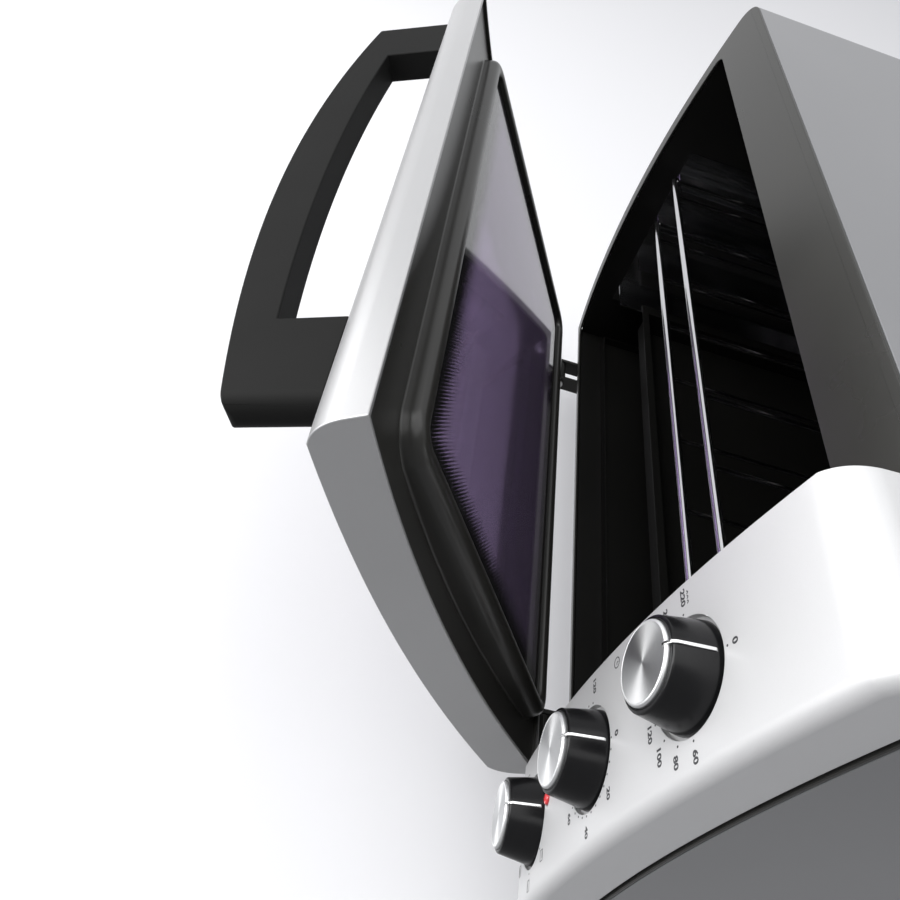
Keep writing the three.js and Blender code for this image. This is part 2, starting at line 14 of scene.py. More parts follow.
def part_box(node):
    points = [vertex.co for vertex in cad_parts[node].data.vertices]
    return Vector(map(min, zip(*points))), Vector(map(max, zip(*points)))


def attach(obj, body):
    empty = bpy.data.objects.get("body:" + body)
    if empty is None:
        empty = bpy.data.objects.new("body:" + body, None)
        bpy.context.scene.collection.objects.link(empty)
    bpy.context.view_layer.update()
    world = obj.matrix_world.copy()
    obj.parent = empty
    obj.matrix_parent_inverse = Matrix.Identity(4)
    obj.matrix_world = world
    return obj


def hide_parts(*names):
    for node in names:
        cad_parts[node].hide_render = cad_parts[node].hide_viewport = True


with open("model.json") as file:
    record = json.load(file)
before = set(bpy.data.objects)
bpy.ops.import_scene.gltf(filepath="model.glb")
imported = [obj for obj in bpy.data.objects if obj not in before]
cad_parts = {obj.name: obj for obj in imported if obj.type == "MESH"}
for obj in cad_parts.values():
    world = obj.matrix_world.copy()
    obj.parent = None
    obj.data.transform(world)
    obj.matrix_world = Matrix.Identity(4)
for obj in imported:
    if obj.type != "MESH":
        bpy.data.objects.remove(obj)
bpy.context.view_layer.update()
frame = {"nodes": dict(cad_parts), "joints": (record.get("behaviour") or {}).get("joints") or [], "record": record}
NODES = frame["nodes"]
JOINTS = {joint["name"]: joint for joint in frame["joints"]}
MM = 0.001

# ------------------------------------------------------------------------------------------ dimensions
HINGE = Vector(JOINTS["door_hinge"]["pos_m"])
REST_ANGLE = math.radians(-JOINTS["door_hinge"]["range_deg"][0])
BODY = Matrix.Translation((0, HINGE.y, HINGE.z))
DOOR = BODY @ Matrix.Rotation(REST_ANGLE, 4, "X")


def span(node, axis):
    """Lowest and highest place of a CAD node along an axis, in millimetres in the hinge frame."""
    low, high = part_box(node)
    shift = (0, HINGE.y, HINGE.z)[axis]
    return ((low[axis] - shift) / MM, (high[axis] - shift) / MM)


# The front is bowed: every front surface is an arc about one centre line.
ARC_Y, ARC_Z = 950.9, 171.6
DOOR_INNER_R = 955.0
DOOR_OUTER_R = 982.3
FRAME_R = 953.0
FRAME_SHEET = 1.6
DOOR_X = span("door_shell", 0)
DOOR_Z = (31.0, 338.7)
DOOR_WALL = 2.4
DOOR_MID = sum(DOOR_X) / 2
RIM_X = (-253.0, 157.5)
RIM_Z = (37.0, 300.0)
RIM_FACE_Y = 12.5
GLASS_BACK_Y = 4.9
PANEL_X = span("control_panel", 0)
HALF = span("outer_casing", 0)[1]
TOP_Z = span("outer_casing", 2)[1]
BACK_Y = span("outer_casing", 1)[1]
SHEET = 1.2
CASING_BOTTOM = span("outer_casing", 2)[0]
PLINTH_Y = 38.0
KNOB_X = JOINTS["thermostat_turn"]["pos_m"][0] / MM
WELL_RADIUS, WELL_DEPTH = 24.0, 3.0
MOUTH_X, MOUTH_Z = (-256.5, 163.5), (33.5, 306.0)
SILL_Z = 28.0
# Gap left between neighbouring pieces.
FIT = 0.3
# The door: the pan's flange, the hinge arms and the outer window.
PAN_FLANGE_Z = (35.0, 334.8)
HINGE_ARM_X = [sum(span(f"hinge_arm_{side}", 0)) / 2 for side in ("left", "right")]
WINDOW_HALF, WINDOW_Z = 165.0, (78.0, 262.0)
# The inner pane, and the printed border in its material: solid edge, dotted reach and dot pitch.
PANE_INSET, PANE_CORNER = 12.4, 8.6
FRIT_SOLID, FRIT_REACH, FRIT_PITCH = 2.5, 30.0, 1.85
# The control panel.
PANEL_EDGE_RADIUS = 6.5
SHAFT_BORE = 4.5
PILOT = (224.0, 98.0)
PILOT_BORE, LENS_RADIUS, LENS_WALL, LENS_CROWN = 3.5, 3.1, 0.3, 1.5
# The casing and the vents in its sides.
CASING_CORNER = 16.0
VENT_COUNT, VENT_START, VENT_PITCH, VENT_Z = 9, 215.0, 14.0, (236.0, 286.0)


def arc_y(radius, z):
    return ARC_Y - math.sqrt(radius**2 - (z - ARC_Z) ** 2)


def arc_tilt(radius, z):
    return math.asin((z - ARC_Z) / radius)


# --------------------------------------------------------------------------------------------- meshes
def link(name, mesh, place):
    obj = bpy.data.objects.new(name, mesh)
    bpy.context.scene.collection.objects.link(obj)
    obj.matrix_world = place
    return obj


def shape(name, verts, faces, place=BODY):
    """A mesh object from points in millimetres, its faces turned to point out."""
    mesh = bpy.data.meshes.new(name)
    mesh.from_pydata([tuple(c * MM for c in v) for v in verts], [], faces)
    bm = bmesh.new()
    bm.from_mesh(mesh)
    bmesh.ops.recalc_face_normals(bm, faces=bm.faces)
    bm.to_mesh(mesh)
    bm.free()
    return link(name, mesh, place)


def prism(name, outline, axis, low, high, place=BODY):
    """A closed outline pushed along an axis: [y, z] points for x, [x, z] for y, [x, y] for z."""
    order = {"x": lambda a, b, c: (c, a, b), "y": lambda a, b, c: (a, c, b), "z": lambda a, b, c: (a, b, c)}
    put = order[axis]
    count = len(outline)
    verts = [put(a, b, low) for a, b in outline] + [put(a, b, high) for a, b in outline]
    faces = [tuple(range(count)), tuple(range(2 * count - 1, count - 1, -1))]
    for i in range(count):
        j = (i + 1) % count
        faces.append((i, j, count + j, count + i))
    return shape(name, verts, faces, place)


def turned(name, profile, place=BODY, segments=96):
    """A turned piece from (radius, height) points; height runs towards -Y, and both ends lie on the axis."""
    verts, rings = [], []
    for radius, height in profile:
        if radius < 1e-6:
            rings.append([len(verts)])
            verts.append((0, -height, 0))
            continue
        rings.append(list(range(len(verts), len(verts) + segments)))
        for i in range(segments):
            angle = 2 * math.pi * i / segments
            verts.append((radius * math.sin(angle), -height, radius * math.cos(angle)))
    faces = []
    for lower, upper in zip(rings, rings[1:]):
        for i in range(segments):
            j = (i + 1) % segments
            if len(lower) == 1 and len(upper) == 1:
                continue
            if len(lower) == 1:
                faces.append((lower[0], upper[j], upper[i]))
            elif len(upper) == 1:
                faces.append((lower[i], lower[j], upper[0]))
            else:
                faces.append((lower[i], lower[j], upper[j], upper[i]))
    return shape(name, verts, faces, place)


def block(name, x, y, z, place=BODY):
    outline = [(x[0], z[0]), (x[1], z[0]), (x[1], z[1]), (x[0], z[1])]
    return prism(name, outline, "y", y[0], y[1], place)


def bake(obj):
    """Applies an object's modifiers."""
    evaluated = obj.evaluated_get(bpy.context.evaluated_depsgraph_get())
    mesh = bpy.data.meshes.new_from_object(evaluated)
    obj.modifiers.clear()
    obj.data = mesh
    return obj


def discard(obj):
    mesh = obj.data
    bpy.data.objects.remove(obj)
    bpy.data.meshes.remove(mesh)


def boolean(obj, tools, operation="DIFFERENCE"):
    """Cuts tools from a piece; a tool's own material goes to the faces it cuts."""
    own = obj.data.materials[0] if obj.data.materials else None
    for tool in tools:
        if own and not tool.data.materials:
            tool.data.materials.append(own)
        modifier = obj.modifiers.new("boolean", "BOOLEAN")
        modifier.operation = operation
        modifier.solver = "EXACT"
        modifier.material_mode = "TRANSFER"
        modifier.object = tool
    bpy.context.view_layer.update()
    bake(obj)
    for tool in tools:
        discard(tool)
    return obj


def bevel(obj, width, segments=3, angle=38.0, weight=False):
    modifier = obj.modifiers.new("bevel", "BEVEL")
    modifier.width = width * MM
    modifier.segments = segments
    modifier.use_clamp_overlap = False
    modifier.limit_method = "WEIGHT" if weight else "ANGLE"
    modifier.angle_limit = math.radians(angle)
    return obj


def soften(obj):
    """Smooth shading that keeps flat faces flat."""
    for polygon in obj.data.polygons:
        polygon.use_smooth = True
    modifier = obj.modifiers.new("normals", "WEIGHTED_NORMAL")
    modifier.keep_sharp = True
    modifier.weight = 60
    return obj


def join(name, objects):
    """Several meshes as one piece."""
    bpy.context.view_layer.update()
    target = objects[0]
    bm = bmesh.new()
    for obj in objects:
        mesh = obj.data.copy()
        mesh.transform(target.matrix_world.inverted() @ obj.matrix_world)
        bm.from_mesh(mesh)
        bpy.data.meshes.remove(mesh)
    bm.to_mesh(target.data)
    bm.free()
    for obj in objects[1:]:
        discard(obj)
    target.name = name
    return target


def rounded_rect(x, z, radius, steps=8, fill=1):
    """Corner arcs of so many steps, with each straight side in so many pieces."""
    points = []
    corners = [(x[1] - radius, z[1] - radius), (x[0] + radius, z[1] - radius),
               (x[0] + radius, z[0] + radius), (x[1] - radius, z[0] + radius)]
    for corner, (cx, cz) in enumerate(corners):
        for i in range(steps + 1):
            angle = math.pi / 2 * (corner + i / steps)
            points.append((cx + radius * math.cos(angle), cz + radius * math.sin(angle)))
        turn = math.pi / 2 * (corner + 1)
        next_x, next_z = corners[(corner + 1) % 4]
        end, start = points[-1], (next_x + radius * math.cos(turn), next_z + radius * math.sin(turn))
        points += [(lerp(end[0], start[0], i / fill), lerp(end[1], start[1], i / fill)) for i in range(1, fill)]
    return points


def circle(cx, cy, radius, sides=32):
    turns = [2 * math.pi * i / sides for i in range(sides)]
    return [(cx + radius * math.cos(t), cy + radius * math.sin(t)) for t in turns]


def quarter(steps):
    """So many even steps of angle up to a right angle, without nought itself."""
    return [math.pi / 2 * i / steps for i in range(1, steps + 1)]


def inset(pair, amount):
    return (pair[0] + amount, pair[1] - amount)


def lerp(a, b, t):
    return a + (b - a) * t


def arc_points(radius, z0, z1, steps=48):
    return [(arc_y(radius, lerp(z0, z1, i / steps)), lerp(z0, z1, i / steps)) for i in range(steps + 1)]


def quadratic(a, b, c, steps):
    points = []
    for i in range(steps + 1):
        t = i / steps
        points.append(tuple((1 - t) ** 2 * p + 2 * t * (1 - t) * q + t**2 * r for p, q, r in zip(a, b, c)))
    return points


def band_outline(rear, front, z):
    """Side outline of the bowed band that the door and the control panel share."""
    bottom, top = z
    shoulder = 10.7

    def roll(end, inward):
        rear_y, front_y = arc_y(rear, end), arc_y(front, end)
        start = (rear_y + 0.42 * (front_y - rear_y), end + 0.5 * inward)
        control = (front_y + 3.6, end + 1.7 * inward)
        finish = (arc_y(front, end + shoulder * inward), end + shoulder * inward)
        return quadratic(start, control, finish, 12)

    return (arc_points(rear, bottom, top) + roll(top, -1)
            + arc_points(front, top - shoulder, bottom + shoulder)[1:-1]
            + roll(bottom, 1)[::-1])


# ------------------------------------------------------------------------------------------ materials
class Finish:
    """A node material round one Principled shader, with short calls for the nodes it is built from."""

    def __init__(self, name, **settings):
        self.material = bpy.data.materials.new(name)
        self.material.use_nodes = True
        self.nodes = self.material.node_tree.nodes
        self.links = self.material.node_tree.links
        self.shader = self.nodes["Principled BSDF"]
        for socket, value in settings.items():
            self.shader.inputs[socket.replace("_", " ")].default_value = value
        self.place = self.nodes.new("ShaderNodeTexCoord").outputs["Object"]

    def node(self, kind, links=(), **properties):
        made = self.nodes.new(kind)
        for key, value in properties.items():
            setattr(made, key, value)
        for socket, source in links:
            self.set(made.inputs[socket], source)
        return made

    def set(self, socket, source):
        """Links a node's output to a socket, or gives the socket a constant."""
        if hasattr(source, "is_output"):
            self.links.new(source, socket)
        else:
            socket.default_value = source

    def noise(self, scale, detail=2.0):
        """Noise turned askew, so that no flat face lies along its grid."""
        turned_place = self.node("ShaderNodeMapping", [("Vector", self.place), ("Rotation", (0.6, 0.4, 0.3))])
        made = self.node("ShaderNodeTexNoise", [("Vector", turned_place.outputs[0]), ("Scale", scale),
                                                ("Detail", detail), ("Roughness", 0.5)])
        return made.outputs["Fac"]

    def cells(self, scale):
        made = self.node("ShaderNodeTexVoronoi", [("Vector", self.place), ("Scale", scale)])
        return made.outputs["Color"]

    def math(self, operation, a, b=0.0, c=0.0):
        return self.node("ShaderNodeMath", [(0, a), (1, b), (2, c)], operation=operation).outputs[0]

    def ramp(self, value, low, high, a=0.0, b=1.0):
        made = self.node("ShaderNodeMapRange", [("Value", value), ("From Min", a), ("From Max", b),
                                                ("To Min", low), ("To Max", high)])
        return made.outputs[0]

    def blend(self, value, color_a, color_b):
        made = self.node("ShaderNodeMix", data_type="RGBA")
        for socket, source in ((made.inputs[0], value), (made.inputs[6], color_a), (made.inputs[7], color_b)):
            self.set(socket, (*source, 1) if isinstance(source, tuple) else source)
        return made.outputs[2]

    def feed(self, socket, source):
        self.links.new(source, self.shader.inputs[socket])

    def bump(self, height, distance, strength=1.0):
        made = self.node("ShaderNodeBump", [("Height", height), ("Distance", distance * MM),
                                            ("Strength", strength)])
        self.feed("Normal", made.outputs[0])


def metallic_paint(name, light, dark, rough=(0.30, 0.40), metal=0.85):
    """Silver lacquer: fine flake in colour and roughness, and a faint orange peel."""
    look = Finish(name, Metallic=metal)
    flake = look.cells(9000)
    sparkle = look.ramp(look.node("ShaderNodeSeparateColor", [(0, flake)]).outputs[0], 0.0, 1.0)
    drift = look.noise(6, 3)
    look.feed("Base Color", look.blend(look.math("MULTIPLY_ADD", sparkle, 0.35, look.ramp(drift, 0, 0.5)),
                                       dark, light))
    look.feed("Roughness", look.ramp(sparkle, *rough))
    look.bump(look.noise(420, 2), 0.02, 0.25)
    return look.material


def black_enamel(name, tone, rough, grain=700, shine=0.45):
    """Fired black enamel or powder coat: slightly brown black, with a fine pebble."""
    look = Finish(name, Specular_IOR_Level=shine)
    speck = look.noise(grain, 3)
    drift = look.noise(9, 4)
    look.feed("Base Color", look.blend(drift, (tone, tone, tone * 0.93), (tone * 1.7, tone * 1.65, tone * 1.5)))
    look.feed("Roughness", look.ramp(drift, *rough))
    look.bump(speck, 0.012, 0.25)
    return look.material


def moulded_plastic(name, color, rough, grain=1500, depth=0.02, coat=0.0, shine=0.5):
    look = Finish(name, Coat_Weight=coat, Coat_Roughness=0.04, Specular_IOR_Level=shine)
    fine = look.noise(grain, 2)
    drift = look.noise(14, 3)
    light = tuple(c * 1.18 + 0.003 for c in color)
    look.feed("Base Color", look.blend(drift, color, light))
    look.feed("Roughness", look.ramp(fine, rough - 0.05, rough + 0.05))
    look.bump(fine, depth, 0.3)
    return look.material


def bright_metal(name, color, rough):
    look = Finish(name, Metallic=1.0)
    fine = look.noise(1800, 4)
    drift = look.noise(20, 3)
    look.feed("Base Color", look.blend(drift, tuple(c * 0.86 for c in color), color))
    look.feed("Roughness", look.ramp(fine, rough * 0.75, rough * 1.3, 0.3, 0.7))
    look.bump(fine, 0.004, 0.1)
    return look.material


def spun_metal(name):
    """A turned aluminium face: fine rings about the knob's own axis, which give the fan-shaped highlights."""
    look = Finish(name, Metallic=1.0, Anisotropic=0.7, Roughness=0.42)
    split = look.node("ShaderNodeSeparateXYZ", [(0, look.place)])
    squares = look.math("ADD", look.math("MULTIPLY", split.outputs[0], split.outputs[0]),
                        look.math("MULTIPLY", split.outputs[2], split.outputs[2]))
    radius = look.math("SQRT", squares)
    rings = look.node("ShaderNodeTexNoise", [("W", radius), ("Scale", 5200.0), ("Detail", 3.0)],
                      noise_dimensions="1D").outputs["Fac"]
    look.feed("Base Color", look.blend(rings, (0.82, 0.83, 0.84), (0.98, 0.98, 0.98)))
    tangent = look.node("ShaderNodeTangent", direction_type="RADIAL", axis="Y")
    look.feed("Tangent", tangent.outputs[0])
    look.bump(rings, 0.006, 0.5)
    return look.material


def tinted_glass(name, tint, clear, rough, frit=None):
    """Tinted oven glass.  With frit, a printed black border that breaks up into dots towards the middle."""
    look = Finish(name, IOR=1.5, Transmission_Weight=clear, Roughness=0.015, Base_Color=(*tint, 1))
    smear = look.noise(22, 3)
    look.feed("Roughness", look.ramp(smear, *rough))
    if frit is None:
        look.feed("Base Color", look.blend(smear, tint, tuple(c * 1.06 for c in tint)))
        return look.material
    (cx, cz), (half_x, half_z), radius, solid, reach, pitch = frit
    split = look.node("ShaderNodeSeparateXYZ", [(0, look.place)])
    x = look.math("MULTIPLY_ADD", split.outputs[0], 1 / MM, -cx)
    z = look.math("MULTIPLY_ADD", split.outputs[2], 1 / MM, -cz)
    over_x = look.math("SUBTRACT", look.math("ABSOLUTE", x), half_x - radius)
    over_z = look.math("SUBTRACT", look.math("ABSOLUTE", z), half_z - radius)
    corner_x, corner_z = look.math("MAXIMUM", over_x, 0.0), look.math("MAXIMUM", over_z, 0.0)
    corner = look.math("SQRT", look.math("ADD", look.math("MULTIPLY", corner_x, corner_x),
                                         look.math("MULTIPLY", corner_z, corner_z)))
    inner = look.math("MINIMUM", look.math("MAXIMUM", over_x, over_z), 0.0)
    depth = look.math("SUBTRACT", radius, look.math("ADD", corner, inner))
    fade = look.ramp(depth, 0.74, 0.0, solid, solid + reach)
    diagonal = 1 / (pitch * math.sqrt(2))
    u = look.math("MULTIPLY", look.math("ADD", x, z), diagonal)
    v = look.math("MULTIPLY", look.math("SUBTRACT", x, z), diagonal)
    du = look.math("SUBTRACT", look.math("FRACT", u), 0.5)
    dv = look.math("SUBTRACT", look.math("FRACT", v), 0.5)
    away = look.math("SQRT", look.math("ADD", look.math("MULTIPLY", du, du), look.math("MULTIPLY", dv, dv)))
    printed = look.math("LESS_THAN", away, fade)
    look.feed("Base Color", look.blend(printed, tint, (0.012, 0.012, 0.012)))
    look.feed("Transmission Weight", look.math("MULTIPLY", look.math("SUBTRACT", 1.0, printed), clear))
    return look.material


def plain_floor(name):
    look = Finish(name, Roughness=0.6, Emission_Color=(0.95, 0.95, 1.0, 1), Emission_Strength=0.24)
    look.feed("Base Color", look.blend(look.noise(3, 2), (0.52, 0.52, 0.53), (0.54, 0.54, 0.55)))
    return look.material


def make_finishes():
    glass_x, glass_z = inset(RIM_X, PANE_INSET), inset(RIM_Z, PANE_INSET)
    frit = ((sum(glass_x) / 2, sum(glass_z) / 2), ((glass_x[1] - glass_x[0]) / 2, (glass_z[1] - glass_z[0]) / 2),
            PANE_CORNER, FRIT_SOLID, FRIT_REACH, FRIT_PITCH)
    return {
        "casing_silver": metallic_paint("casing_silver", (0.40, 0.40, 0.41), (0.30, 0.30, 0.31)),
        "door_silver": metallic_paint("door_silver", (0.46, 0.46, 0.465), (0.37, 0.37, 0.375), (0.28, 0.36), 0.5),
        "panel_silver": metallic_paint("panel_silver", (0.64, 0.64, 0.645), (0.54, 0.54, 0.545),
                                       (0.42, 0.52), 0.4),
        "black_enamel": black_enamel("black_enamel", 0.018, (0.24, 0.33)),
        # The oven's inside is black enamel, but its tone here (0.005, against 0.018 for the door's black enamel)
        # and its low shine are painted shade, so the cavity reads near black as if in shadow.
        "cavity_enamel": black_enamel("cavity_enamel", 0.005, (0.34, 0.46), shine=0.25),
        "black_steel": black_enamel("black_steel", 0.014, (0.42, 0.56), grain=1400, shine=0.3),
        "bare_steel": bright_metal("bare_steel", (0.62, 0.62, 0.61), 0.38),
        "element_steel": bright_metal("element_steel", (0.30, 0.29, 0.28), 0.45),
        "chrome": bright_metal("chrome", (0.86, 0.86, 0.88), 0.12),
        "spun_aluminium": spun_metal("spun_aluminium"),
        "pointer_silver": bright_metal("pointer_silver", (0.88, 0.88, 0.88), 0.2),
        "knob_black": moulded_plastic("knob_black", (0.004, 0.004, 0.0045), 0.22, 900, 0.006, shine=0.25),
        "handle_black": moulded_plastic("handle_black", (0.006, 0.006, 0.0058), 0.6, 1600, 0.02, shine=0.08),
        "black_plastic": moulded_plastic("black_plastic", (0.02, 0.02, 0.02), 0.5),
        "door_glass": tinted_glass("door_glass", (0.45, 0.36, 0.55), 0.8, (0.03, 0.06), frit),
        "outer_glass": tinted_glass("outer_glass", (0.62, 0.57, 0.66), 1.0, (0.03, 0.06)),
        "red_lens": moulded_plastic("red_lens", (0.50, 0.03, 0.035), 0.15, 900, 0.004, 0.5),
        "rubber": moulded_plastic("rubber", (0.018, 0.018, 0.018), 0.8, 900, 0.05),
        "ceramic": moulded_plastic("ceramic", (0.72, 0.69, 0.62), 0.6, 700, 0.02),
        "ink": moulded_plastic("ink", (0.03, 0.03, 0.033), 0.5),
        "floor": plain_floor("floor"),
    }


FINISHES = make_finishes()


def paint(obj, look):
    obj.data.materials.clear()
    obj.data.materials.append(FINISHES[look])


def finish(obj, body, slot, look=None, replaces=()):
    """Gives a piece its material, unless it has one already, and its body; the record slot names the material when
    no look is given.
    """
    if not any(obj.data.materials):
        paint(obj, look or slot)
    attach(obj, body)
    if replaces:
        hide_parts(*replaces)
    return obj


# ------------------------------------------------------------------------------------------- the door
def build_door_shell():
    shell = prism("door_shell_skin", band_outline(DOOR_INNER_R, DOOR_OUTER_R, DOOR_Z), "x", *DOOR_X, DOOR)
    hollow = prism("hollow", band_outline(DOOR_INNER_R - 15, DOOR_OUTER_R - DOOR_WALL, inset(DOOR_Z, DOOR_WALL)),
                   "x", *inset(DOOR_X, DOOR_WALL), DOOR)
    opening = rounded_rect((DOOR_MID - WINDOW_HALF, DOOR_MID + WINDOW_HALF), WINDOW_Z, 14)
    window = prism("window", opening, "y", -45, -15, DOOR)
    paint(shell, "door_silver")
    paint(hollow, "black_enamel")
    slots = [block("slot", (x - 11.5, x + 11.5), (-16, -3), (25, 44), DOOR) for x in HINGE_ARM_X]
    boolean(shell, [hollow, window, *slots])
    bevel(shell, 0.7, 3)
    soften(shell)
    finish(shell, "door", "door_silver", replaces=["door_shell"])


def build_door_pan():
    """The pressed inner pan: curved flange, raised rim with rolled edges, and the seat for the glass."""
    foot, back = 1.6, DOOR_INNER_R + 2.5
    ladder = [(20.0, 3.1), (12.7, 3.1), (12.2, 3.6)]
    ladder += quadratic((12.2, 9.2), (12.1, RIM_FACE_Y + 0.1), (7.2, RIM_FACE_Y), 8)
    ladder += quadratic((7.2, RIM_FACE_Y), (1.5, RIM_FACE_Y), (0.6, 5.0), 12)[1:]

    def ring(amount, radius):
        return rounded_rect(inset(RIM_X, amount), inset(RIM_Z, amount), radius, 12, 24)

    rows = [[(x, y, z) for x, z in ring(amount, max(20 - amount, 3.0))] for amount, y in ladder]
    for i in range(6):
        t = math.pi / 2 * i / 5
        amount = foot * math.cos(t) - foot
        rows.append([(x, arc_y(back, z) + foot * (1 - math.sin(t)), z) for x, z in ring(amount, 20 - amount)])
    start = rows[-1]
    edge = rounded_rect(inset(DOOR_X, DOOR_WALL + FIT), PAN_FLANGE_Z, 1.0, 12, 24)
    for i in range(1, 9):
        spots = [(lerp(sx, ex, i / 8), lerp(sz, ez, i / 8)) for (sx, _, sz), (ex, ez) in zip(start, edge)]
        rows.append([(x, arc_y(back, z), z) for x, z in spots])
    count = len(start)
    verts = [point for row in rows for point in row]
    faces = []
    for r in range(len(rows) - 1):
        for i in range(count):
            j = (i + 1) % count
            faces.append((r * count + i, r * count + j, (r + 1) * count + j, (r + 1) * count + i))
    pan = shape("door_pan_pressing", verts, faces, DOOR)
    face_towards(pan, Vector((0, 1, 0)))
    solidify = pan.modifiers.new("sheet", "SOLIDIFY")
    solidify.thickness = 1.3 * MM
    solidify.offset = -1
    soften(pan)
    finish(pan, "door", "black_enamel", replaces=["door_pan"])


def face_towards(obj, direction):
    """Turns an open sheet so that its faces look along a direction."""
    total = sum((p.normal * p.area for p in obj.data.polygons), Vector())
    if total.dot(direction) < 0:
        obj.data.flip_normals()


def build_door_glass():
    outline = rounded_rect(inset(RIM_X, PANE_INSET), inset(RIM_Z, PANE_INSET), PANE_CORNER, 10)
    inner = prism("door_inner_pane", outline, "y", GLASS_BACK_Y, GLASS_BACK_Y + 4, DOOR)
    bevel(inner, 0.6, 2)
    soften(inner)
    finish(inner, "door", "door_glass", replaces=["door_inner_glass"])
    front = DOOR_OUTER_R - DOOR_WALL - FIT
    low, high = inset(WINDOW_Z, -10)
    strip = arc_points(front - 4, low, high, 32) + arc_points(front, high, low, 32)
    half = WINDOW_HALF + 11
    outer = prism("door_outer_pane", strip, "x", DOOR_MID - half, DOOR_MID + half, DOOR)
    bevel(outer, 0.4, 2)
    soften(outer)
    finish(outer, "door", "door_glass", "outer_glass", ["door_outer_glass"])


HANDLE_Z = 318.0
HANDLE_OUTER, HANDLE_INNER = (69.6, 0.00053), (43.7, 0.00036)
HANDLE_HALF, HANDLE_END_HALF, HANDLE_END_RADIUS = 12, 9.5, 9.4
HANDLE_TIP = 6
HANDLE = (DOOR @ Matrix.Translation(Vector((0, arc_y(DOOR_OUTER_R, HANDLE_Z), HANDLE_Z)) * MM)
          @ Matrix.Rotation(-arc_tilt(DOOR_OUTER_R, HANDLE_Z), 4, "X"))


def build_handle():
    """The bowed bar and its two half-round posts, cut from one outline as in the CAD, with eased edges."""
    ends, posts, crown = (-255.5, 159.5), (-199.0, 103.0), -61.5

    def reach(curve, x):
        crest, sag = curve
        return crest - sag * (x - crown) ** 2

    def along(a, b, curve):
        return [(x, -reach(curve, x)) for x in (lerp(a, b, i / 48) for i in range(49))]

    def corner(end, inward):
        tip, far = end + HANDLE_TIP * inward, reach(HANDLE_OUTER, end)
        return quadratic((end, -far + HANDLE_TIP), (end, -far), (tip, -reach(HANDLE_OUTER, tip)), 6)

    outline = [(ends[0], -FIT)] + corner(ends[0], 1)
    outline += along(ends[0] + HANDLE_TIP, ends[1] - HANDLE_TIP, HANDLE_OUTER)[1:-1] + corner(ends[1], -1)[::-1]
    outline += [(ends[1], -FIT), (posts[1], -FIT)] + along(posts[1], posts[0], HANDLE_INNER) + [(posts[0], -FIT)]
    handle = prism("handle_bar", outline, "z", -HANDLE_HALF, HANDLE_HALF, HANDLE)
    rounded = rounded_rect(ends, (-HANDLE_END_HALF, HANDLE_END_HALF), HANDLE_END_RADIUS, 12)
    boolean(handle, [prism("ends", rounded, "y", -80, 5, HANDLE)], "INTERSECT")
    bevel(handle, 0.9, 3, 32)
    soften(handle)
    finish(handle, "door", "handle_black", replaces=["handle"])


# --------------------------------------------------------------------------------- the control panel
CONTROLS = ("thermostat", "timer", "selector")


def control_z(name):
    return (JOINTS[f"{name}_turn"]["pos_m"][2] - HINGE.z) / MM


def on_panel(x, z, radius=DOOR_OUTER_R):
    """Where something sits on the panel's bowed face, with -Y straight out of it."""
    return (BODY @ Matrix.Translation(Vector((x, arc_y(radius, z), z)) * MM)
            @ Matrix.Rotation(-arc_tilt(radius, z), 4, "X"))


def drill(radius, depth, place):
    """A cutter for a round hole straight into the panel."""
    return turned("bore", [(0, -depth), (radius, -depth), (radius, 5), (0, 5)], place, 32)


def shaft_bores(depth):
    return [drill(SHAFT_BORE, depth, on_panel(KNOB_X, control_z(name))) for name in CONTROLS]


def build_panel():
    rear_r = DOOR_INNER_R - 0.5
    panel = prism("control_panel_skin", band_outline(rear_r, DOOR_OUTER_R, DOOR_Z), "x", *PANEL_X)
    right = PANEL_X[1] * MM
    weights = panel.data.attributes.new("bevel_weight_edge", "FLOAT", "EDGE")
    for edge in panel.data.edges:
        a, b = (panel.data.vertices[i].co for i in edge.vertices)
        on_right = abs(a.x - right) < 1e-6 and abs(b.x - right) < 1e-6
        rear = all(abs(p.y / MM - arc_y(rear_r, p.z / MM)) < 0.01 for p in (a, b))
        weights.data[edge.index].value = 1.0 if on_right and not rear else 0.0
    bevel(panel, PANEL_EDGE_RADIUS, 8, weight=True)
    bake(panel)
    hollow = prism("hollow", band_outline(DOOR_INNER_R - 15, DOOR_OUTER_R - 9, inset(DOOR_Z, 3)), "x",
                   *inset(PANEL_X, 3))
    wells = [turned("well", [(0, -WELL_DEPTH), (WELL_RADIUS, -WELL_DEPTH), (WELL_RADIUS, 5), (0, 5)],
                    on_panel(KNOB_X, control_z(name)), 96) for name in CONTROLS]
    pilot = drill(PILOT_BORE, 20, on_panel(*PILOT))
    boolean(panel, [hollow, *wells, pilot])
    bevel(panel, 0.45, 2, 50)
    boolean(panel, shaft_bores(30))
    soften(panel)
    finish(panel, "chassis", "panel_silver", replaces=["control_panel"])

    profile = [(0, -6), (LENS_RADIUS, -6), (LENS_RADIUS, LENS_WALL)]
    profile += [(LENS_RADIUS * math.cos(t), LENS_WALL + LENS_CROWN * math.sin(t)) for t in quarter(8)]
    lens = turned("pilot_lens_dome", profile, on_panel(*PILOT), 40)
    soften(lens)
    finish(lens, "chassis", "red_lens", replaces=["pilot_lens"])


